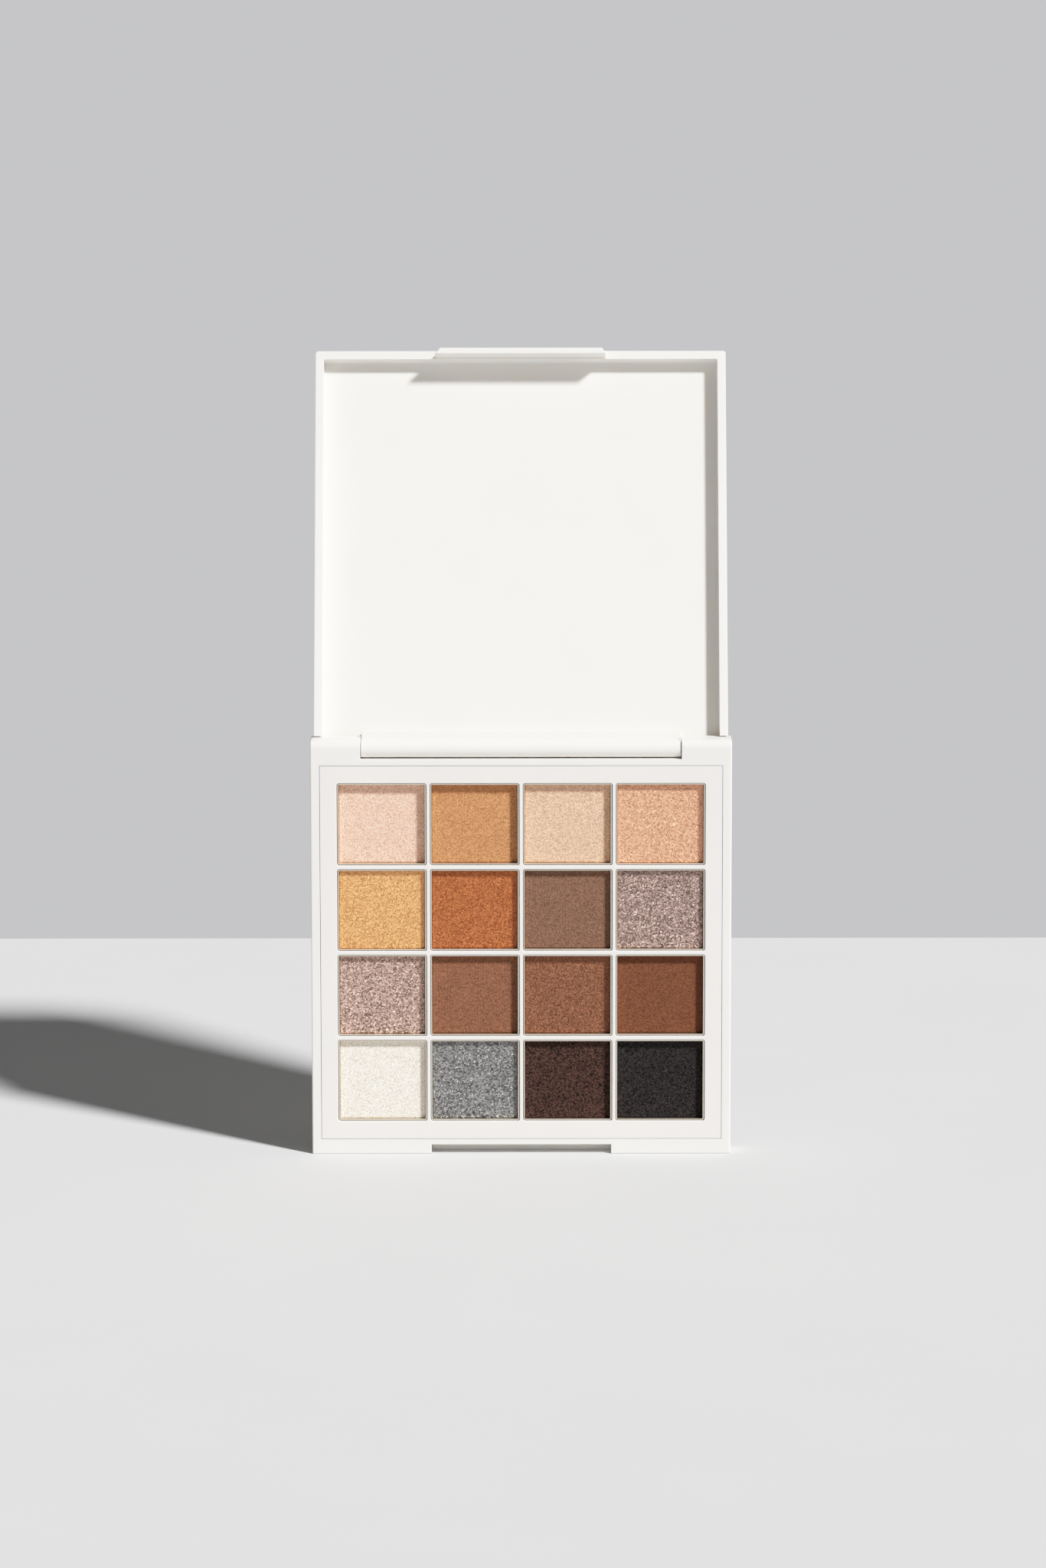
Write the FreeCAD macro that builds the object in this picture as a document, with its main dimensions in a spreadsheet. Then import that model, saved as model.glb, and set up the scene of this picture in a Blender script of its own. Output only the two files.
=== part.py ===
import FreeCAD, Part
import Sketcher
import os

# Eyeshadow palette standing open on the front edge of its base.
#
# Row frame, in millimetres: +X to the viewer's right, +Y away from the viewer, +Z up.
# The origin is the middle of the full-length strip of the standing edge, behind the thumb notch.
# The pans face -Y. The lid is open past upright and leans back by lid_lean.
#
# The lid is drawn in its own frame and then placed: its X is the hinge axis, its Y runs from the
# axis to the lid's front edge and its Z points out of the lid's recess.

doc = FreeCAD.newDocument("eyeshadow_palette")
sheet = doc.addObject("Spreadsheet::Sheet", "dims")

DIMENSIONS = [
    # The base: a shallow tray.
    ("base_width", 120.0),
    ("base_length", 120.0),
    ("base_thick", 9.8),
    ("base_front", 7.6),          # front plane, this far before the origin
    ("base_floor", 1.8),
    ("base_edge", 0.4),
    # The hinge: a notch in the base's back edge, two ears and the lid's knuckle between them.
    ("notch_width", 91.5),
    ("notch_floor", 114.6),       # height of the notch's floor above the standing edge
    ("axis_height", 117.3),
    ("axis_depth", 2.85),         # the axis lies this far behind the base's front plane
    ("ear_front_round", 2.2),
    ("pin_radius", 0.8),
    ("pin_length", 20.0),
    ("pin_inset", 0.4),           # outer end of a pin, below the ear's side face
    ("pin_clearance", 0.05),
    ("knuckle_radius", 2.4),
    ("knuckle_gap", 0.25),        # between each end of the knuckle and its ear
    ("knuckle_bore", 6.2),        # depth of the blind bore in each end
    # The thumb notch and its latch bump.
    ("thumb_width", 51.6),
    ("thumb_height", 2.8),
    ("thumb_depth", 5.4),
    ("bump_width", 9.4),
    ("bump_rise", 0.2),
    ("bump_front", 0.8),          # from the base's front plane to the bump
    ("bump_long", 2.6),
    # The insert frame and its wells.
    ("insert_width", 114.6),
    ("insert_length", 108.2),
    ("insert_low", 4.5),
    ("insert_seam", 0.15),        # gap between the insert and the tray's wall
    ("insert_lift", 0.1),         # gap between the insert and the tray's floor
    ("well_width", 25.6),
    ("well_height", 23.76),
    ("well_pitch_wide", 26.5),
    ("well_pitch_high", 24.8),
    ("well_middle", 58.7),        # height of the middle of the grid of wells
    ("well_depth", 5.0),
    ("well_corner", 0.7),
    ("well_edge", 0.12),
    ("core_inset", 1.2),          # the insert is cored out from behind, inside each well's outline
    ("core_depth", 1.2),
    # The pans and their glue pads.
    ("pan_play", 0.2),            # gap between a pan and its well, all round
    ("pan_sink", 0.55),           # the pan's rim, below the insert's front face
    ("pan_wall", 0.3),
    ("glue_side", 14.0),
    ("glue_thick", 0.2),
    ("powder_play", 0.01),
    # The lid.
    ("lid_width", 118.2),
    ("lid_reach", 116.8),         # from the axis to the lid's front edge
    ("lid_start", 3.0),           # from the axis to the edge of the plate beside the ears
    ("lid_plate", 1.3),
    ("lid_recess", 4.5),
    ("lid_rim", 2.35),
    ("lid_back_wall", 5.66),      # from the axis to the inner face of the back wall
    ("lid_shut_gap", 0.15),       # between the two rims when the palette is shut
    ("lid_corner", 0.8),
    ("lid_outer_edge", 0.9),
    ("lid_inner_edge", 0.5),
    ("lid_lean", 18.0),           # degrees back from upright, as it stands open
    ("web_start", 0.1),           # from the axis to the web that joins the knuckle to the lid
    ("web_round", 3.0),
    ("ear_play", 0.35),           # between the lid's side walls and the tops of the ears
    ("ear_back_play", 0.9),       # between the lid's plate and the backs of the ears
    # The thumb tab.
    ("tab_width", 49.2),
    ("tab_narrow", 1.3),          # the tab is this much narrower at each end of its outer face
    ("tab_thick", 1.7),
    ("tab_setback", 0.22),        # from the lid's front face to the tab's outer face
    ("tab_reach", 5.2),           # beyond the lid's rim plane
    ("tab_root", 4.5),            # below the rim plane, on the outside of the front wall
    ("tab_edge", 0.25),
]

# Depth of each powder's face below the insert's front face, row by row from the hinge side.
SHADES = [
    [("pale_pink", 2.65), ("camel", 2.5), ("beige", 2.25), ("peach_rose", 1.9)],
    [("gold", 1.65), ("copper", 1.95), ("taupe", 2.0), ("silver_mauve", 1.65)],
    [("rose_taupe", 1.95), ("brown", 2.25), ("bronze", 2.15), ("chestnut", 2.4)],
    [("ivory", 1.9), ("steel_blue", 1.65), ("espresso", 2.05), ("black", 2.25)],
]
ROWS = len(SHADES)
COLUMNS = len(SHADES[0])

for line, (alias, number) in enumerate(DIMENSIONS, start=1):
    sheet.set("A%d" % line, alias)
    sheet.set("B%d" % line, str(number))
    sheet.setAlias("B%d" % line, alias)
first_shade = len(DIMENSIONS) + 1
for row in range(ROWS):
    for column in range(COLUMNS):
        line = first_shade + row * COLUMNS + column
        alias = "sink_%s" % SHADES[row][column][0]
        sheet.set("A%d" % line, alias)
        sheet.set("B%d" % line, str(SHADES[row][column][1]))
        sheet.setAlias("B%d" % line, alias)
doc.recompute()

outputs = []


def size(alias):
    """The number in the sheet's cell of that name."""
    return float(sheet.get(alias))


def bound(text):
    """Expression in which every word @name stands for the sheet's cell of that name."""
    return text.replace("@", "dims.")


# ---------------------------------------------------------------- helpers for PartDesign bodies

def new_body(name):
    body = doc.addObject("PartDesign::Body", name)
    body.Label = name
    outputs.append(body)
    return body


def origin_plane(body, role):
    for feature in body.Origin.OriginFeatures:
        if feature.Role == role:
            return feature
    raise RuntimeError("no plane " + role)


def new_sketch(body, name, role, offset="0"):
    """Sketch on one of the body's own planes, moved along that plane's normal by offset."""
    sketch = body.newObject("Sketcher::SketchObject", name)
    sketch.AttachmentSupport = [(origin_plane(body, role), "")]
    sketch.MapMode = "FlatFace"
    sketch.setExpression(".AttachmentOffset.Base.z", bound(offset))
    return sketch


def constrain(sketch, kind, *where):
    """Adds a constraint; a text in the last place is the expression for its value."""
    *places, expression = where
    index = sketch.addConstraint(Sketcher.Constraint(kind, *places, 1.0))
    sketch.setExpression("Constraints[%d]" % index, bound(expression))


def add_outline(sketch, points):
    """Closed outline of straight lines; each point is a pair of expressions (across, up)."""
    first = sketch.GeometryCount
    count = len(points)
    # Rough corners on a curve, so that no two lines overlap until the constraints place them.
    rough = [FreeCAD.Vector(index + 1, index * index, 0) for index in range(count)]
    for index in range(count):
        sketch.addGeometry(Part.LineSegment(rough[index], rough[(index + 1) % count]), False)
    for index in range(count):
        following = first + (index + 1) % count
        sketch.addConstraint(Sketcher.Constraint("Coincident", first + index, 2, following, 1))
    for index, (across, up) in enumerate(points):
        constrain(sketch, "DistanceX", -1, 1, first + index, 1, across)
        constrain(sketch, "DistanceY", -1, 1, first + index, 1, up)


def add_rectangle(sketch, left, right, low, high):
    add_outline(sketch, [(left, low), (right, low), (right, high), (left, high)])


def add_circle(sketch, across, up, radius):
    index = sketch.GeometryCount
    sketch.addGeometry(Part.Circle(FreeCAD.Vector(1, 1, 0), FreeCAD.Vector(0, 0, 1), 1), False)
    constrain(sketch, "DistanceX", -1, 1, index, 3, across)
    constrain(sketch, "DistanceY", -1, 1, index, 3, up)
    constrain(sketch, "Radius", index, radius)


def extrude(body, kind, name, sketch, length, midplane=False, flip=False):
    """Pad or Pocket of a sketch; raises if it leaves the solid's volume as it was."""
    before = body.Shape.Volume if not body.Shape.isNull() else 0.0
    feature = body.newObject("PartDesign::" + kind, name)
    feature.Profile = sketch
    feature.Midplane = midplane
    feature.Reversed = flip
    feature.setExpression("Length", bound(length))
    doc.recompute()
    if abs(body.Shape.Volume - before) < 1e-6:
        raise RuntimeError(name + " changed nothing")
    return feature


def round_edges(body, name, radius, wanted):
    """Fillet of every edge of the body's tip that the test wanted() picks."""
    tip = body.Tip
    picked = ["Edge%d" % (n + 1) for n, edge in enumerate(tip.Shape.Edges) if wanted(edge)]
    if not picked:
        raise RuntimeError(name + " found no edge")
    fillet = body.newObject("PartDesign::Fillet", name)
    fillet.Base = (tip, picked)
    fillet.setExpression("Radius", bound(radius))
    doc.recompute()
    if "Invalid" in fillet.State:
        raise RuntimeError(name + " failed")
    return fillet


def near(one, other, tolerance=0.02):
    return abs(one - other) < tolerance


def runs_along(edge, axis):
    """True for a straight edge parallel to axis 0, 1 or 2."""
    box = edge.BoundBox
    spans = [box.XLength, box.YLength, box.ZLength]
    return spans[axis] > 0.05 and all(near(spans[k], 0) for k in range(3) if k != axis)


def lies_at(edge, axis, level):
    """True for an edge that lies wholly in the plane where coordinate axis equals level."""
    box = edge.BoundBox
    low = [box.XMin, box.YMin, box.ZMin][axis]
    high = [box.XMax, box.YMax, box.ZMax][axis]
    return near(low, level) and near(high, level)


# ---------------------------------------------------------------- base shell

def make_base_shell():
    body = new_body("base_shell")
    half = "@base_width/2"
    front = size("base_front")

    # Sketches on the XZ plane have their normal along -Y, so a positive offset moves to the front.
    block = new_sketch(body, "base_outline", "XZ_Plane", "@base_front")
    add_rectangle(block, "-" + half, half, "0", "@base_length")
    extrude(body, "Pad", "base_block", block, "@base_thick", flip=True)
    top = size("base_length")
    round_edges(body, "ear_front_round", "@ear_front_round",
                lambda edge: runs_along(edge, 0) and lies_at(edge, 1, -front) and lies_at(edge, 2, top))
    round_top = size("ear_front_round")
    round_edges(body, "base_edges", "@base_edge",
                lambda edge: not (runs_along(edge, 0)
                                  and (lies_at(edge, 1, round_top - front)
                                       or lies_at(edge, 2, top - round_top))))

    cavity = new_sketch(body, "cavity_outline", "XZ_Plane", "@base_front")
    side = "(@insert_width/2 + @insert_seam)"
    add_rectangle(cavity, "-" + side, side, "@insert_low - @insert_seam",
                  "@insert_low + @insert_length + @insert_seam")
    extrude(body, "Pocket", "insert_cavity", cavity, "@base_thick - @base_floor")

    notch = new_sketch(body, "hinge_notch_outline", "XZ_Plane", "@base_front")
    add_rectangle(notch, "-@notch_width/2", "@notch_width/2", "@notch_floor", "@base_length + 1")
    extrude(body, "Pocket", "hinge_notch", notch, "@base_thick + 1")

    thumb = new_sketch(body, "thumb_notch_outline", "XZ_Plane", "@base_front")
    add_rectangle(thumb, "-@thumb_width/2", "@thumb_width/2", "-1", "@thumb_height")
    extrude(body, "Pocket", "thumb_notch", thumb, "@thumb_depth")

    # The latch bump is low and long, with sloping ends, and is rooted in the notch's wall.
    bump = new_sketch(body, "latch_bump_outline", "XZ_Plane", "@base_front - @bump_front")
    add_outline(bump, [
        ("-@bump_width/2", "@thumb_height + @bump_rise"),
        ("-@bump_width/4", "@thumb_height - @bump_rise"),
        ("@bump_width/4", "@thumb_height - @bump_rise"),
        ("@bump_width/2", "@thumb_height + @bump_rise"),
    ])
    extrude(body, "Pad", "latch_bump", bump, "@bump_long", flip=True)

    bore = new_sketch(body, "ear_bore_outline", "YZ_Plane")
    add_circle(bore, "@axis_depth - @base_front", "@axis_height", "@pin_radius")
    extrude(body, "Pocket", "ear_bores", bore, "@base_width + 2", midplane=True)
    return body


# ---------------------------------------------------------------- insert frame with its wells

def well_centre(row, column):
    """Expressions for the middle of a well; row 0 is at the hinge side."""
    across = "(%g)*@well_pitch_wide" % (column - (COLUMNS - 1) / 2)
    up = "(@well_middle + (%g)*@well_pitch_high)" % ((ROWS - 1) / 2 - row)
    return across, up


def add_grid(sketch, half_wide, half_high):
    for row in range(ROWS):
        for column in range(COLUMNS):
            across, up = well_centre(row, column)
            add_rectangle(sketch, "%s - %s" % (across, half_wide), "%s + %s" % (across, half_wide),
                          "%s - %s" % (up, half_high), "%s + %s" % (up, half_high))


def make_pan_frame():
    body = new_body("pan_frame")
    front = size("base_front")
    thick = "(@base_thick - @base_floor - @insert_lift)"

    outline = new_sketch(body, "insert_outline", "XZ_Plane", "@base_front")
    add_rectangle(outline, "-@insert_width/2", "@insert_width/2", "@insert_low",
                  "@insert_low + @insert_length")
    extrude(body, "Pad", "insert_plate", outline, thick, flip=True)

    wells = new_sketch(body, "wells_outline", "XZ_Plane", "@base_front")
    add_grid(wells, "@well_width/2", "@well_height/2")
    extrude(body, "Pocket", "wells", wells, "@well_depth")

    floor = size("well_depth") - front
    inner_half = size("insert_width") / 2 - 1
    round_edges(body, "well_corners", "@well_corner",
                lambda edge: runs_along(edge, 1) and abs(edge.BoundBox.XMin) < inner_half
                and edge.BoundBox.YMax < floor + 0.01)
    low = size("insert_low")
    high = low + size("insert_length")
    outer = [-size("insert_width") / 2, size("insert_width") / 2]
    round_edges(body, "well_edges", "@well_edge",
                lambda edge: lies_at(edge, 1, -front)
                and not any(lies_at(edge, 0, level) for level in outer)
                and not any(lies_at(edge, 2, level) for level in (low, high)))

    cores = new_sketch(body, "cores_outline", "XZ_Plane", "@base_front - " + thick)
    add_grid(cores, "(@well_width/2 - @core_inset)", "(@well_height/2 - @core_inset)")
    extrude(body, "Pocket", "cores", cores, "@core_depth", flip=True)
    return body


# ---------------------------------------------------------------- pans, powders and glue pads

def rounded_block(name, wide, high, deep, across, up, front, radius):
    """Box with four rounded edges along Y; front is the expression of its -Y face."""
    box = doc.addObject("Part::Box", name + "_box")
    box.setExpression("Length", bound(wide))
    box.setExpression("Width", bound(deep))
    box.setExpression("Height", bound(high))
    box.setExpression("Placement.Base.x", bound("%s - (%s)/2" % (across, wide)))
    box.setExpression("Placement.Base.y", bound(front))
    box.setExpression("Placement.Base.z", bound("%s - (%s)/2" % (up, high)))
    doc.recompute()
    corners = doc.addObject("Part::Fillet", name)
    corners.Base = box
    corners.Edges = [(n + 1, radius, radius)
                     for n, edge in enumerate(box.Shape.Edges) if runs_along(edge, 1)]
    return corners


def make_pan(row, column):
    """Thin metal pan, glued to the well's floor."""
    name = "pan_r%dc%d" % (row + 1, column + 1)
    across, up = well_centre(row, column)
    wide = "@well_width - 2*@pan_play"
    high = "@well_height - 2*@pan_play"
    deep = "@well_depth - @pan_sink - @glue_thick"
    front = "@pan_sink - @base_front"
    radius = size("well_corner") - size("pan_play")
    outside = rounded_block(name + "_outside", wide, high, deep, across, up, front, radius)
    inside = rounded_block(name + "_inside", wide + " - 2*@pan_wall", high + " - 2*@pan_wall", deep,
                           across, up, front + " - @pan_wall", radius - size("pan_wall"))
    pan = doc.addObject("Part::Cut", name)
    pan.Label = name
    pan.Base = outside
    pan.Tool = inside
    outputs.append(pan)
    return pan


def make_powder(row, column):
    """Pressed powder cake, from the pan's floor up to its own depth."""
    shade = SHADES[row][column][0]
    name = "powder_r%dc%d_%s" % (row + 1, column + 1, shade)
    across, up = well_centre(row, column)
    side_play = "2*@pan_play - 2*@pan_wall - 2*@powder_play"
    deep = "@well_depth - @glue_thick - @pan_wall - @powder_play - @sink_" + shade
    radius = size("well_corner") - size("pan_play") - size("pan_wall") - size("powder_play")
    powder = rounded_block(name, "@well_width - " + side_play, "@well_height - " + side_play, deep,
                           across, up, "@sink_%s - @base_front" % shade, radius)
    powder.Label = name
    outputs.append(powder)
    return powder


def make_glue():
    """One thin square pad between each pan and the floor of its well."""
    pads = []
    for row in range(ROWS):
        for column in range(COLUMNS):
            across, up = well_centre(row, column)
            pad = doc.addObject("Part::Box", "glue_pad_r%dc%d" % (row + 1, column + 1))
            pad.setExpression("Length", bound("@glue_side"))
            pad.setExpression("Width", bound("@glue_thick"))
            pad.setExpression("Height", bound("@glue_side"))
            pad.setExpression("Placement.Base.x", bound("%s - @glue_side/2" % across))
            pad.setExpression("Placement.Base.y", bound("@well_depth - @glue_thick - @base_front"))
            pad.setExpression("Placement.Base.z", bound("%s - @glue_side/2" % up))
            pads.append(pad)
    glue = doc.addObject("Part::Compound", "pan_glue")
    glue.Label = "pan_glue"
    glue.Links = pads
    outputs.append(glue)
    return glue


# ---------------------------------------------------------------- hinge pins

def make_pin(name, inner_end):
    """Steel pin along X, pressed into an ear; inner_end is the expression of its lower X end."""
    pin = doc.addObject("Part::Cylinder", name)
    pin.Label = name
    pin.Placement = FreeCAD.Placement(FreeCAD.Vector(0, 0, 0),
                                      FreeCAD.Rotation(FreeCAD.Vector(0, 1, 0), 90))
    pin.setExpression("Radius", bound("@pin_radius"))
    pin.setExpression("Height", bound("@pin_length"))
    pin.setExpression("Placement.Base.x", bound(inner_end))
    pin.setExpression("Placement.Base.y", bound("@axis_depth - @base_front"))
    pin.setExpression("Placement.Base.z", bound("@axis_height"))
    outputs.append(pin)
    return pin


# ---------------------------------------------------------------- lid shell

def make_lid_shell():
    body = new_body("lid_shell")
    rim = "(@axis_depth + @lid_shut_gap)"             # depth of the rim plane behind the axis
    thick = "(@lid_recess + @lid_plate)"
    outer = "(%s + %s)" % (rim, thick)
    knuckle_half = "(@notch_width/2 - @knuckle_gap)"
    rim_level = -(size("axis_depth") + size("lid_shut_gap"))
    floor_level = rim_level - size("lid_recess")
    outer_level = floor_level - size("lid_plate")
    half_width = size("lid_width") / 2

    # Plate and walls.
    outline = new_sketch(body, "lid_outline", "XY_Plane", "-" + outer)
    add_rectangle(outline, "-@lid_width/2", "@lid_width/2", "@lid_start", "@lid_reach")
    extrude(body, "Pad", "lid_block", outline, thick)
    round_edges(body, "lid_corners", "@lid_corner", lambda edge: runs_along(edge, 2))
    round_edges(body, "lid_outer_edges", "@lid_outer_edge",
                lambda edge: lies_at(edge, 2, outer_level) and edge.BoundBox.YMax > size("lid_start") + 1)

    recess = new_sketch(body, "recess_outline", "XY_Plane", "-" + rim)
    add_rectangle(recess, "-(@lid_width/2 - @lid_rim)", "@lid_width/2 - @lid_rim",
                  "@lid_back_wall", "@lid_reach - @lid_rim")
    extrude(body, "Pocket", "recess", recess, "@lid_recess")
    inside = half_width - size("lid_rim") + 0.1
    round_edges(body, "recess_corners", "@lid_inner_edge",
                lambda edge: runs_along(edge, 2) and abs(edge.BoundBox.XMin) < inside)
    round_edges(body, "recess_floor_edges", "@lid_inner_edge",
                lambda edge: lies_at(edge, 2, floor_level))

    # Beside the knuckle the back wall is left out, so that the plate passes behind each ear, and
    # the side walls stop just above the tops of the ears.
    for side in (-1, 1):
        word = "left" if side < 0 else "right"
        gap = new_sketch(body, "ear_gap_outline_" + word, "XY_Plane", "-" + rim)
        inner = "%d*%s" % (side, knuckle_half)
        rim_inner = "%d*(@lid_width/2 - @lid_rim)" % side
        add_rectangle(gap, inner, rim_inner, "@lid_start - 1", "@lid_back_wall + @lid_inner_edge")
        extrude(body, "Pocket", "ear_gap_" + word, gap, "@lid_recess")

        relief = new_sketch(body, "ear_relief_outline_" + word, "YZ_Plane",
                            "%d*(@lid_width/2 + 1)" % side)
        rise = "(@base_length - @axis_height + @ear_play)"
        back = "(@base_thick - @axis_depth + @ear_back_play)"
        cut_y = "(%s*sin(@lid_lean) + %s*cos(@lid_lean))" % (back, rise)
        cut_z = "(%s*sin(@lid_lean) - %s*cos(@lid_lean))" % (rise, back)
        add_outline(relief, [
            ("@lid_start - 1", "0"),
            ("%s/cos(@lid_lean)" % rise, "0"),
            (cut_y, cut_z),
            ("@lid_start - 1", "(@lid_start - 1)*tan(@lid_lean) - %s/cos(@lid_lean)" % back),
        ])
        extrude(body, "Pocket", "ear_relief_" + word, relief,
                "@lid_width/2 + 1 - " + knuckle_half, flip=side < 0)

    # Knuckle and the web that carries it.
    barrel = new_sketch(body, "knuckle_outline", "YZ_Plane")
    add_circle(barrel, "0", "0", "@knuckle_radius")
    extrude(body, "Pad", "knuckle", barrel, "2*" + knuckle_half, midplane=True)
    web = new_sketch(body, "web_outline", "YZ_Plane")
    add_outline(web, [
        ("@web_start", "0"),
        ("@knuckle_radius", "0"),
        ("@knuckle_radius", "-" + rim),
        ("@lid_back_wall", "-" + rim),
        ("@lid_back_wall", "-" + outer),
        ("@web_start", "-" + outer),
    ])
    extrude(body, "Pad", "web", web, "2*" + knuckle_half, midplane=True)
    round_edges(body, "web_rounding", "@web_round",
                lambda edge: runs_along(edge, 0) and lies_at(edge, 2, outer_level)
                and lies_at(edge, 1, size("web_start")))

    # Thumb tab: a thin plate on the front wall, wider on its inner face.
    tab = new_sketch(body, "tab_outline", "XY_Plane", "-(%s + @tab_root)" % rim)
    near_edge = "@lid_reach - @tab_setback - @tab_thick"
    far_edge = "@lid_reach - @tab_setback"
    add_outline(tab, [
        ("-@tab_width/2", near_edge),
        ("@tab_width/2", near_edge),
        ("@tab_width/2 - @tab_narrow", far_edge),
        ("-(@tab_width/2 - @tab_narrow)", far_edge),
    ])
    extrude(body, "Pad", "thumb_tab", tab, "@tab_root + @tab_reach")
    tab_level = rim_level + size("tab_reach")
    round_edges(body, "tab_edges", "@tab_edge", lambda edge: lies_at(edge, 2, tab_level))

    # A blind bore in each end of the knuckle.
    for side in (-1, 1):
        word = "left" if side < 0 else "right"
        bore = new_sketch(body, "knuckle_bore_outline_" + word, "YZ_Plane",
                          "%d*%s" % (side, knuckle_half))
        add_circle(bore, "0", "0", "@pin_radius + @pin_clearance")
        extrude(body, "Pocket", "knuckle_bore_" + word, bore, "@knuckle_bore", flip=side < 0)

    # Stand the lid up: first its own Y up along +Z, then leaning back about the hinge axis.
    body.setExpression("Placement.Base.y", bound("@axis_depth - @base_front"))
    body.setExpression("Placement.Base.z", bound("@axis_height"))
    body.Placement.Rotation = FreeCAD.Rotation(FreeCAD.Vector(1, 0, 0), 90 - size("lid_lean"))
    return body


# ---------------------------------------------------------------- the whole palette

make_base_shell()
make_pan_frame()
for row in range(ROWS):
    for column in range(COLUMNS):
        make_pan(row, column)
for row in range(ROWS):
    for column in range(COLUMNS):
        make_powder(row, column)
make_glue()
make_pin("hinge_pin_left", "@pin_inset - @base_width/2")
make_pin("hinge_pin_right", "@base_width/2 - @pin_inset - @pin_length")
make_lid_shell()
doc.recompute()

for item in doc.Objects:
    if "Invalid" in item.State or "Error" in item.State:
        raise RuntimeError("%s failed: %s" % (item.Name, item.State))
for item in outputs:
    if item.Shape.isNull() or not item.Shape.isValid():
        raise RuntimeError(item.Label + " has no valid shape")

os.makedirs("parts", exist_ok=True)
for item in outputs:
    item.Shape.exportStep("parts/%s.step" % item.Label)
    box = item.Shape.BoundBox
    print("%-28s solids %2d  volume %9.1f  x %.2f %.2f  y %.2f %.2f  z %.2f %.2f" % (
        item.Label, len(item.Shape.Solids), item.Shape.Volume,
        box.XMin, box.XMax, box.YMin, box.YMax, box.ZMin, box.ZMax))
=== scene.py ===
import math

import bmesh
import bpy
from mathutils import Matrix, Vector, noise


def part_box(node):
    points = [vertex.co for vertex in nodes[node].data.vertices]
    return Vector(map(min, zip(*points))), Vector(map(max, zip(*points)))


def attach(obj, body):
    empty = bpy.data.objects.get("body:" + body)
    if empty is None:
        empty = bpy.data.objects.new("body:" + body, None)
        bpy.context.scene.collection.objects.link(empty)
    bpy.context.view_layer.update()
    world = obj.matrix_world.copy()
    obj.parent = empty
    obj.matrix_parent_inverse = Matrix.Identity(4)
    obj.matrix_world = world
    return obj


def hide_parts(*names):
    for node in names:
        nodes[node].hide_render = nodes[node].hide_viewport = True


MM = 0.001

# ---------------------------------------------------------------- driving values

# Camera: long lens, looking down a little at the front of the standing palette.
LENS = 131.8                      # mm on a 36 mm sensor
CAMERA_AT = (0.56 * MM, -1621.4 * MM, 359.7 * MM)
CAMERA_PITCH = 8.88               # degrees below level
CAMERA_ROLL = -0.06               # degrees

# Key light from the right, in front and above; a dim even sky fills the shadows.
TO_KEY = (1.15, -1.0, 1.32)
KEY_STRENGTH = 6.0
KEY_ANGLE = 7.0                   # degrees across, which sets how soft the shadows are
SKY = 0.122
BACKDROP = (0.580, 0.582, 0.600)

# Tone curve, like a film's: straight in the darks and bending over to TONE_TOP in the whites.
TONE_SLOPE = 1.35
TONE_TOP = 1.12
TONE_REACH = 2.5                  # the brightest level that the curve takes in
TONE_STEPS = 10

# Floor: ends a little way behind the palette, where the backdrop begins.
FLOOR_FRONT = 4.0
FLOOR_SIDE = 4.0
FLOOR_BACK = 0.335
FLOOR_TONE = (0.69, 0.69, 0.69)

# Plastics, pans and hinge pins: linear colours.
SHELL_TONE = (0.85, 0.825, 0.775)
INSERT_TONE = (0.835, 0.795, 0.755)
SCATTER = 0.6                     # share of the light that goes into the plastic and out again
SCATTER_TINT = (1.0, 0.85, 0.72)
SCATTER_DEPTH = 0.9 * MM
PAN_TONE = (0.82, 0.74, 0.62)
STEEL_TONE = (0.62, 0.62, 0.64)
GLUE_TONE = (0.8, 0.74, 0.58)

# Powder cakes. Each shade has its colour as seen in daylight (sRGB), its finish and the strength
# of its woven press marks, which sets both their relief and the painted shade in their grooves.
SHADES = {
    "pale_pink": ((241, 208, 188), "matte", 0.35),
    "camel": ((210, 155, 109), "matte", 0.7),
    "beige": ((232, 200, 173), "matte", 0.7),
    "peach_rose": ((228, 181, 150), "shimmer", 0.1),
    "gold": ((229, 179, 124), "shimmer", 0.1),
    "copper": ((187, 115, 74), "shimmer", 0.1),
    "taupe": ((145, 109, 90), "matte", 0.8),
    "silver_mauve": ((173, 149, 141), "glitter", 0.0),
    "rose_taupe": ((192, 165, 153), "glitter", 0.2),
    "brown": ((153, 105, 81), "matte", 1.0),
    "bronze": ((149, 101, 78), "satin", 0.2),
    "chestnut": ((132, 84, 62), "matte", 0.5),
    "ivory": ((243, 236, 225), "matte", 0.0),
    "steel_blue": ((141, 140, 139), "glitter", 0.0),
    "espresso": ((76, 56, 50), "speckle", 0.2),
    "black": ((51, 47, 47), "speckle", 0.1),
}
FINISHES = {
    # metallic, roughness, grain size (mm), grain contrast, grain lean, brightness
    "matte": (0.0, 0.85, 0.26, 0.38, 0.15, 1.0),
    "speckle": (0.0, 0.85, 0.32, 0.95, 0.3, 1.0),
    "satin": (0.35, 0.55, 0.28, 0.45, 0.45, 1.08),
    "shimmer": (0.45, 0.50, 0.30, 0.38, 0.5, 1.14),
    "glitter": (0.55, 0.45, 0.36, 0.60, 0.7, 1.17),
}
LIT = 1.41                        # how much light the front faces get, for a white of 1
HAZE = 0.007                      # what the powder's own surface gloss adds to that
POWDER_GLOSS = 0.1
WEAVE_PAINTED_SHADE = 0.16                # painted shade: how much darker the grooves of the press marks are painted
WEAVE_PITCH = 0.45 * MM

# Cake mesh.
CAKE_CELLS = 56                   # mesh cells along a side
CAKE_GAP = 0.05 * MM              # mean crevice between a cake and its pan
CAKE_CRUMB = 0.09 * MM            # how ragged the crevice is
CAKE_SHOULDER = 0.35 * MM         # width of the rounded shoulder
CAKE_DROP = 0.12 * MM             # how far the shoulder falls
CAKE_WAVE = 0.012 * MM            # slow unevenness of the face

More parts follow.
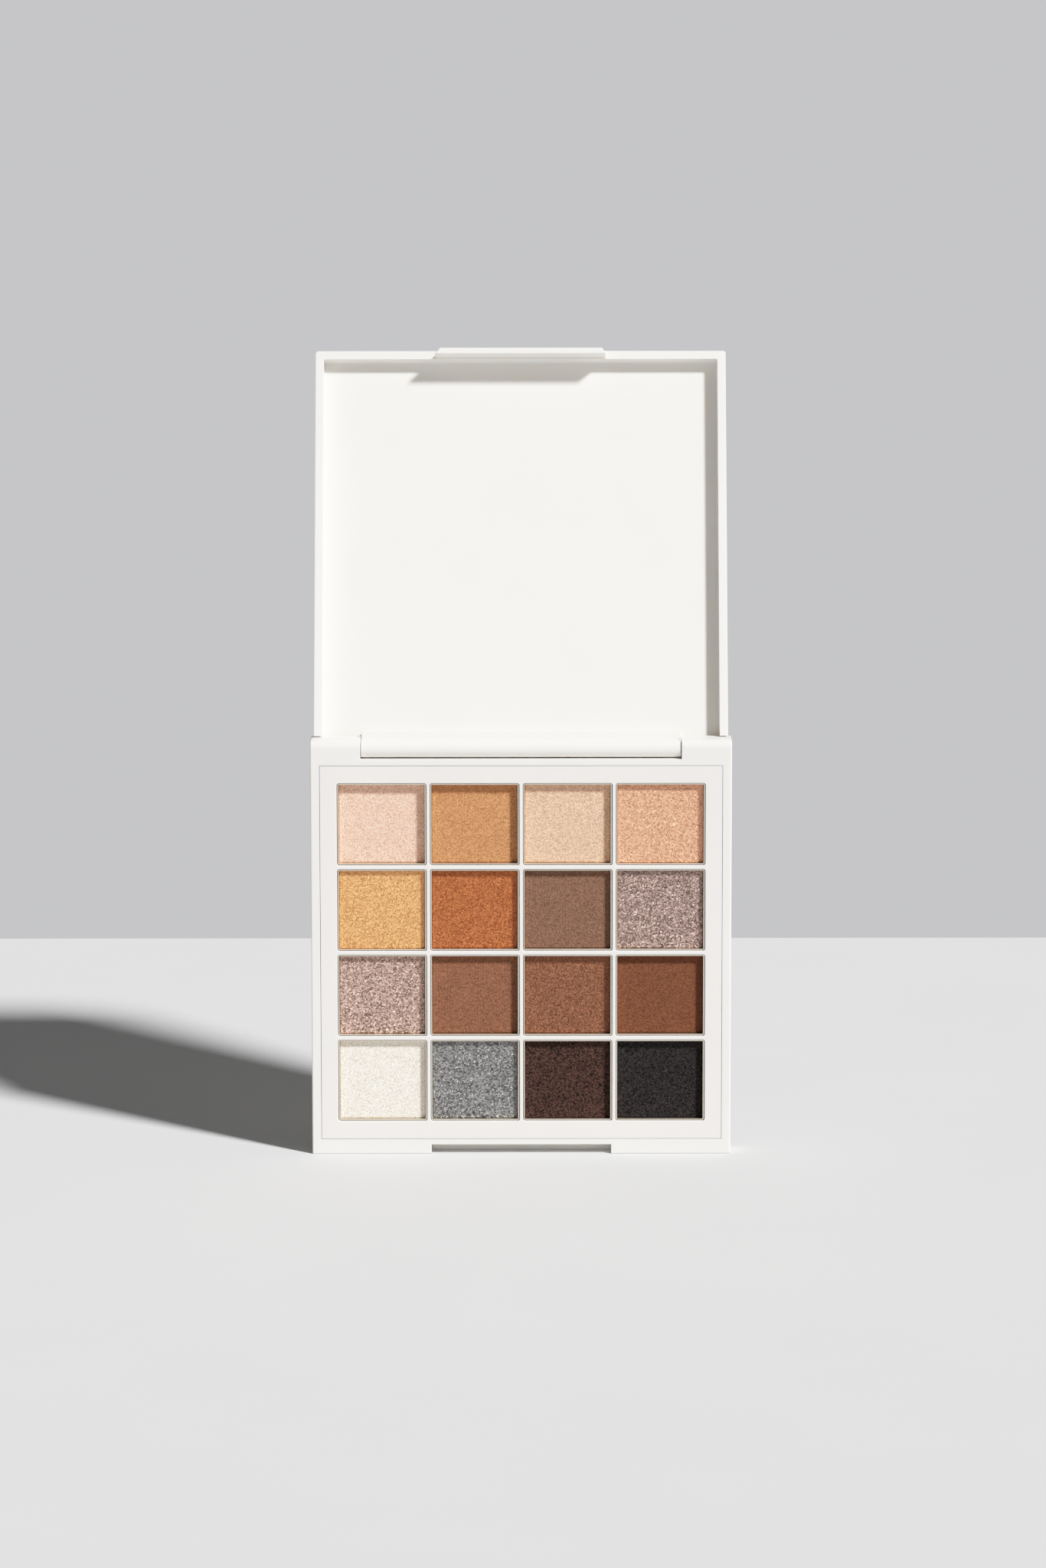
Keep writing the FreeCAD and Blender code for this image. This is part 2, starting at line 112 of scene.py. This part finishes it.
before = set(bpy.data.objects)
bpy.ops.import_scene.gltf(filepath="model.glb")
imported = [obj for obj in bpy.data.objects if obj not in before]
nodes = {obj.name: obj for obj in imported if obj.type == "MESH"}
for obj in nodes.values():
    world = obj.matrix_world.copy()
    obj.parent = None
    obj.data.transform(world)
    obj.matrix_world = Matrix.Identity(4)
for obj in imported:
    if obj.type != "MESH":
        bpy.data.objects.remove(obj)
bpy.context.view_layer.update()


# ---------------------------------------------------------------- material helpers

def tone(level):
    """The tone curve: how bright a level of light comes out."""
    return TONE_TOP * (1 - math.exp(-level * TONE_SLOPE / TONE_TOP))


def tint(daylight):
    """Linear base colour of a surface that comes out as an sRGB colour, 0 to 255, in the key light."""
    out = []
    for channel in daylight:
        value = channel / 255
        value = value / 12.92 if value <= 0.04045 else ((value + 0.055) / 1.055) ** 2.4
        level = -math.log(1 - value / TONE_TOP) * TONE_TOP / TONE_SLOPE
        out.append(min(max(level - HAZE, 0.002) / LIT, 0.95))
    return tuple(out)


def scaled(colour, factor):
    return tuple(min(channel * factor, 1.0) for channel in colour)


class Nodes:
    """Short names for making and joining a material's nodes."""

    def __init__(self, name):
        self.material = bpy.data.materials.new(name)
        self.material.use_nodes = True
        self.tree = self.material.node_tree
        self.shader = self.tree.nodes["Principled BSDF"]

    def new(self, kind, **settings):
        node = self.tree.nodes.new("ShaderNode" + kind)
        for key, value in settings.items():
            if hasattr(node, key):
                setattr(node, key, value)
            else:
                node.inputs[key].default_value = value
        return node

    def link(self, output, socket):
        self.tree.links.new(output, socket)

    def place(self):
        """Position on the piece."""
        return self.new("TexCoord").outputs["Object"]

    def noise(self, size, detail=2.0, roughness=0.5):
        """Noise texture whose lumps are about size metres across."""
        node = self.new("TexNoise", Scale=1 / size, Detail=detail, Roughness=roughness)
        self.link(self.place(), node.inputs["Vector"])
        return node

    def ramp(self, factor, stops):
        """Colour for a factor, from stops of (position, colour)."""
        node = self.new("ValToRGB")
        elements = node.color_ramp.elements
        while len(elements) > 1:
            elements.remove(elements[-1])
        elements[0].position = stops[0][0]
        elements[0].color = (*stops[0][1], 1)
        for position, colour in stops[1:]:
            element = elements.new(position)
            element.color = (*colour, 1)
        self.link(factor, node.inputs["Fac"])
        return node.outputs["Color"]

    def multiply(self, one, other):
        """Product of two colours."""
        node = self.new("Mix", data_type="RGBA", blend_type="MULTIPLY")
        node.inputs["Factor"].default_value = 1.0
        self.link(one, node.inputs["A"])
        self.link(other, node.inputs["B"])
        return node.outputs["Result"]

    def bump(self, height, distance, strength=1.0, under=None):
        """Normal raised by a height, on top of the normal given as under."""
        node = self.new("Bump", Distance=distance, Strength=strength)
        self.link(height, node.inputs["Height"])
        if under is not None:
            self.link(under, node.inputs["Normal"])
        return node.outputs["Normal"]


def plastic(name, tone, roughness, peel):
    """Moulded plastic: even colour with a faint cloud, satin gloss and a very fine texture."""
    n = Nodes(name)
    cloud = n.noise(22 * MM, detail=3)
    n.link(n.ramp(cloud.outputs["Fac"], [(0.3, scaled(tone, 0.985)), (0.7, scaled(tone, 1.01))]),
           n.shader.inputs["Base Color"])
    sheen = n.noise(3 * MM, detail=4)
    level = n.new("MapRange")
    n.link(sheen.outputs["Fac"], level.inputs["Value"])
    level.inputs["To Min"].default_value = roughness - 0.05
    level.inputs["To Max"].default_value = roughness + 0.05
    n.link(level.outputs["Result"], n.shader.inputs["Roughness"])
    edge = n.new("Bevel", samples=6, Radius=0.12 * MM)
    grain = n.noise(0.12 * MM, detail=2)
    n.link(n.bump(grain.outputs["Fac"], peel, under=edge.outputs["Normal"]), n.shader.inputs["Normal"])
    n.shader.inputs["Subsurface Weight"].default_value = SCATTER
    n.shader.inputs["Subsurface Radius"].default_value = SCATTER_TINT
    n.shader.inputs["Subsurface Scale"].default_value = SCATTER_DEPTH
    return n.material


def metal(name, tone, roughness, stretch):
    """Thin drawn metal with fine marks along one direction."""
    n = Nodes(name)
    n.shader.inputs["Metallic"].default_value = 1.0
    squeeze = n.new("Mapping")
    squeeze.inputs["Scale"].default_value = stretch
    n.link(n.place(), squeeze.inputs["Vector"])
    marks = n.new("TexNoise", Scale=1 / (0.2 * MM), Detail=3.0)
    n.link(squeeze.outputs["Vector"], marks.inputs["Vector"])
    n.link(n.ramp(marks.outputs["Fac"], [(0.3, scaled(tone, 0.85)), (0.7, scaled(tone, 1.08))]),
           n.shader.inputs["Base Color"])
    level = n.new("MapRange")
    n.link(marks.outputs["Fac"], level.inputs["Value"])
    level.inputs["To Min"].default_value = roughness - 0.08
    level.inputs["To Max"].default_value = roughness + 0.08
    n.link(level.outputs["Result"], n.shader.inputs["Roughness"])
    n.link(n.bump(marks.outputs["Fac"], 0.003 * MM), n.shader.inputs["Normal"])
    return n.material


def glue(name):
    n = Nodes(name)
    cloud = n.noise(1.5 * MM, detail=4)
    n.link(n.ramp(cloud.outputs["Fac"], [(0.3, scaled(GLUE_TONE, 0.8)), (0.7, GLUE_TONE)]),
           n.shader.inputs["Base Color"])
    n.shader.inputs["Roughness"].default_value = 0.35
    n.link(n.bump(cloud.outputs["Fac"], 0.03 * MM), n.shader.inputs["Normal"])
    return n.material


def powder(name, daylight, finish, weave):
    """Pressed powder: grains that each have their own shade and lean, under woven press marks whose grooves
    carry painted shade.
    """
    metallic, roughness, grain_mm, contrast, lean, lift = FINISHES[finish]
    colour = scaled(tint(daylight), lift)
    n = Nodes(name)
    n.shader.inputs["Metallic"].default_value = metallic
    n.shader.inputs["Roughness"].default_value = roughness
    n.shader.inputs["Specular IOR Level"].default_value = POWDER_GLOSS

    # Colour: each grain from dark to light about the mean, with a slow cloud.
    grains = n.new("TexVoronoi", Scale=1 / (grain_mm * MM), Randomness=1.0)
    n.link(n.place(), grains.inputs["Vector"])
    split = n.new("SeparateColor")
    n.link(grains.outputs["Color"], split.inputs["Color"])
    grain = split.outputs["Red"]
    shown = n.ramp(grain, [(0.0, scaled(colour, 1 - contrast)), (0.5, colour),
                           (1.0, scaled(colour, 1 + contrast))])
    cloud = n.noise(4 * MM, detail=3).outputs["Fac"]
    shown = n.multiply(shown, n.ramp(cloud, [(0.3, (0.95, 0.95, 0.95)), (0.7, (1.0, 1.0, 1.0))]))

    # Relief: the grain, then the marks of the cloth that the cake was pressed through.
    relief = n.bump(grain, (0.010 + 0.02 * contrast) * MM)
    if weave:
        bands = n.new("TexWave", wave_type="BANDS", bands_direction="X",
                      Scale=0.1 * math.pi / WEAVE_PITCH, Distortion=0.6, Detail=1.0)
        n.link(n.place(), bands.inputs["Vector"])
        # Painted shade: the low grooves of the press marks are darkened in colour, where shade would fall
        # in them.
        marks = n.ramp(bands.outputs["Fac"], [(0.0, (1 - WEAVE_PAINTED_SHADE * weave,) * 3), (0.6, (1, 1, 1))])
        shown = n.multiply(shown, marks)
        relief = n.bump(bands.outputs["Fac"], 0.018 * weave * MM, under=relief)

    # Each grain leans its own way, so some catch the light.
    leaning = n.new("VectorMath", operation="MULTIPLY_ADD")
    n.link(grains.outputs["Color"], leaning.inputs[0])
    leaning.inputs[1].default_value = (lean, lean, lean)
    leaning.inputs[2].default_value = (-lean / 2, -lean / 2, -lean / 2)
    add = n.new("VectorMath", operation="ADD")
    n.link(relief, add.inputs[0])
    n.link(leaning.outputs["Vector"], add.inputs[1])
    unit = n.new("VectorMath", operation="NORMALIZE")
    n.link(add.outputs["Vector"], unit.inputs[0])

    n.link(shown, n.shader.inputs["Base Color"])
    n.link(unit.outputs["Vector"], n.shader.inputs["Normal"])
    return n.material


def dress(obj, material):
    obj.data.materials.clear()
    obj.data.materials.append(material)


# ---------------------------------------------------------------- powder cakes

def ragged(across, up, seed):
    """Smooth noise from -1 to 1 at a place on a cake, in metres."""
    coarse = noise.noise(Vector((across / (1.6 * MM), up / (1.6 * MM), seed)))
    fine = noise.noise(Vector((across / (0.45 * MM), up / (0.45 * MM), seed + 40)))
    return 0.6 * coarse + 0.6 * fine


def cake(node, seed):
    """Closed cake in the place of a CAD powder block: an uneven pressed face, rounded shoulders
    and a ragged crevice round its edge."""
    low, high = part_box(node)
    mesh = bpy.data.meshes.new(node + "_cake")
    shape = bmesh.new()
    cells = CAKE_CELLS
    middle = (low + high) / 2
    half = (high - low) / 2

    def spaced(step):
        """Places from -1 to 1, closer together near the edges."""
        t = 2 * step / cells - 1
        return math.sin(t * math.pi / 2) * 0.35 + t * 0.65

    face = []
    for row in range(cells + 1):
        line = []
        for column in range(cells + 1):
            u, v = spaced(column), spaced(row)
            x = middle.x + u * half.x
            z = middle.z + v * half.z
            inset_x = half.x * (1 - abs(u))
            inset_z = half.z * (1 - abs(v))
            inset = min(inset_x, inset_z)
            # The edge itself is pulled in by a ragged amount.
            crumb = CAKE_CRUMB * max(0.0, ragged(x, z, seed))
            pull = max(0.0, 1 - inset / (2 * CAKE_SHOULDER)) * (CAKE_GAP + crumb)
            x -= math.copysign(pull, u) * (1 if inset_x <= 2 * CAKE_SHOULDER else 0)
            z -= math.copysign(pull, v) * (1 if inset_z <= 2 * CAKE_SHOULDER else 0)
            # The shoulder falls away as a quarter ellipse.
            t = min(inset / CAKE_SHOULDER, 1.0)
            drop = CAKE_DROP * (1 - math.sqrt(1 - (1 - t) ** 2)) * (1 + 0.5 * ragged(x, z, seed + 9))
            slow = CAKE_WAVE * (1 + noise.noise(Vector((x / (5 * MM), z / (5 * MM), seed + 17))))
            line.append(shape.verts.new((x, low.y + max(drop, 0) + slow, z)))
        face.append(line)
    for row in range(cells):
        for column in range(cells):
            shape.faces.new((face[row][column], face[row][column + 1],
                             face[row + 1][column + 1], face[row + 1][column]))
    border = [face[0][c] for c in range(cells + 1)]
    border += [face[r][cells] for r in range(1, cells + 1)]
    border += [face[cells][c] for c in range(cells - 1, -1, -1)]
    border += [face[r][0] for r in range(cells - 1, 0, -1)]
    back = [shape.verts.new((v.co.x, high.y, v.co.z)) for v in border]
    for index in range(len(border)):
        after = (index + 1) % len(border)
        shape.faces.new((border[index], back[index], back[after], border[after]))
    shape.faces.new(back)
    bmesh.ops.recalc_face_normals(shape, faces=shape.faces)
    shape.to_mesh(mesh)
    shape.free()
    for polygon in mesh.polygons:
        polygon.use_smooth = len(polygon.vertices) == 4
    piece = bpy.data.objects.new(node + "_cake", mesh)
    bpy.context.scene.collection.objects.link(piece)
    return piece


def add_cakes():
    """Puts a detailed cake in the place of each plain powder block."""
    for seed, node in enumerate(sorted(n for n in nodes if n.startswith("powder_"))):
        shade = node.split("_", 2)[2]
        daylight, finish, weave = SHADES[shade]
        piece = cake(node, seed * 3.7)
        dress(piece, powder("powder_" + shade, daylight, finish, weave))
        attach(piece, "base")
        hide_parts(node)


# ---------------------------------------------------------------- plastics, pans and pins

def dress_nodes():
    """Gives every other CAD piece its material."""
    shell = plastic("shell_plastic", SHELL_TONE, 0.38, 0.002 * MM)
    dress(nodes["base_shell"], shell)
    dress(nodes["lid_shell"], shell)
    dress(nodes["pan_frame"], plastic("insert_plastic", INSERT_TONE, 0.42, 0.003 * MM))
    tin = metal("pan_tin", PAN_TONE, 0.32, (1.0, 1.0, 1.0))
    steel = metal("pin_steel", STEEL_TONE, 0.28, (0.1, 1.0, 1.0))
    pad = glue("glue_pad")
    for name, node in nodes.items():
        if name.startswith("pan_r"):
            dress(node, tin)
        elif name.startswith("hinge_pin"):
            dress(node, steel)
        elif name == "pan_glue":
            dress(node, pad)


# ---------------------------------------------------------------- floor, light and camera

def add_floor():
    """Pale floor that ends where the backdrop begins."""
    mesh = bpy.data.meshes.new("floor")
    corners = [(-FLOOR_SIDE, -FLOOR_FRONT, 0), (FLOOR_SIDE, -FLOOR_FRONT, 0),
               (FLOOR_SIDE, FLOOR_BACK, 0), (-FLOOR_SIDE, FLOOR_BACK, 0)]
    mesh.from_pydata(corners, [], [(0, 1, 2, 3)])
    floor = bpy.data.objects.new("floor", mesh)
    bpy.context.scene.collection.objects.link(floor)
    n = Nodes("floor_paper")
    cloud = n.noise(60 * MM, detail=3)
    n.link(n.ramp(cloud.outputs["Fac"], [(0.3, scaled(FLOOR_TONE, 0.99)), (0.7, scaled(FLOOR_TONE, 1.01))]),
           n.shader.inputs["Base Color"])
    n.shader.inputs["Roughness"].default_value = 0.9
    n.shader.inputs["Specular IOR Level"].default_value = 0.1
    dress(floor, n.material)


def add_light():
    """Sun, dim sky for the shadows, and the backdrop that only the camera sees."""
    data = bpy.data.lights.new("key", "SUN")
    data.energy = KEY_STRENGTH
    data.angle = math.radians(KEY_ANGLE)
    key = bpy.data.objects.new("key", data)
    key.rotation_mode = "QUATERNION"
    key.rotation_quaternion = Vector(TO_KEY).to_track_quat("Z", "Y")
    bpy.context.scene.collection.objects.link(key)

    world = bpy.data.worlds.new("studio")
    bpy.context.scene.world = world
    world.use_nodes = True
    tree = world.node_tree
    tree.nodes.clear()
    fill = tree.nodes.new("ShaderNodeBackground")
    fill.inputs["Color"].default_value = (1, 1, 1, 1)
    fill.inputs["Strength"].default_value = SKY
    seen = tree.nodes.new("ShaderNodeBackground")
    seen.inputs["Color"].default_value = (*BACKDROP, 1)
    seen.inputs["Strength"].default_value = 1.0
    path = tree.nodes.new("ShaderNodeLightPath")
    mix = tree.nodes.new("ShaderNodeMixShader")
    out = tree.nodes.new("ShaderNodeOutputWorld")
    tree.links.new(path.outputs["Is Camera Ray"], mix.inputs["Fac"])
    tree.links.new(fill.outputs["Background"], mix.inputs[1])
    tree.links.new(seen.outputs["Background"], mix.inputs[2])
    tree.links.new(mix.outputs["Shader"], out.inputs["Surface"])


def add_camera():
    """Long lens, looking down a little at the front."""
    data = bpy.data.cameras.new("camera")
    data.sensor_width = 36
    data.lens = LENS
    data.clip_end = 20
    camera = bpy.data.objects.new("camera", data)
    turn = (Matrix.Rotation(math.radians(90 - CAMERA_PITCH), 4, "X")
            @ Matrix.Rotation(math.radians(CAMERA_ROLL), 4, "Z"))
    camera.matrix_world = Matrix.Translation(CAMERA_AT) @ turn
    bpy.context.scene.collection.objects.link(camera)
    bpy.context.scene.camera = camera


def set_tone_curve():
    """Sets the picture to come out through tone()."""
    view = bpy.context.scene.view_settings
    view.view_transform = "Standard"
    view.look = "None"
    view.use_curve_mapping = True
    mapping = view.curve_mapping
    mapping.white_level = (TONE_REACH, TONE_REACH, TONE_REACH)
    mapping.extend = "HORIZONTAL"
    curve = mapping.curves[3]
    curve.points[-1].location = (1.0, min(tone(TONE_REACH), 1.0))
    for step in range(1, TONE_STEPS):
        share = (step / TONE_STEPS) ** 2
        curve.points.new(share, tone(share * TONE_REACH))
    mapping.update()


add_cakes()
dress_nodes()
add_floor()
add_light()
add_camera()
set_tone_curve()
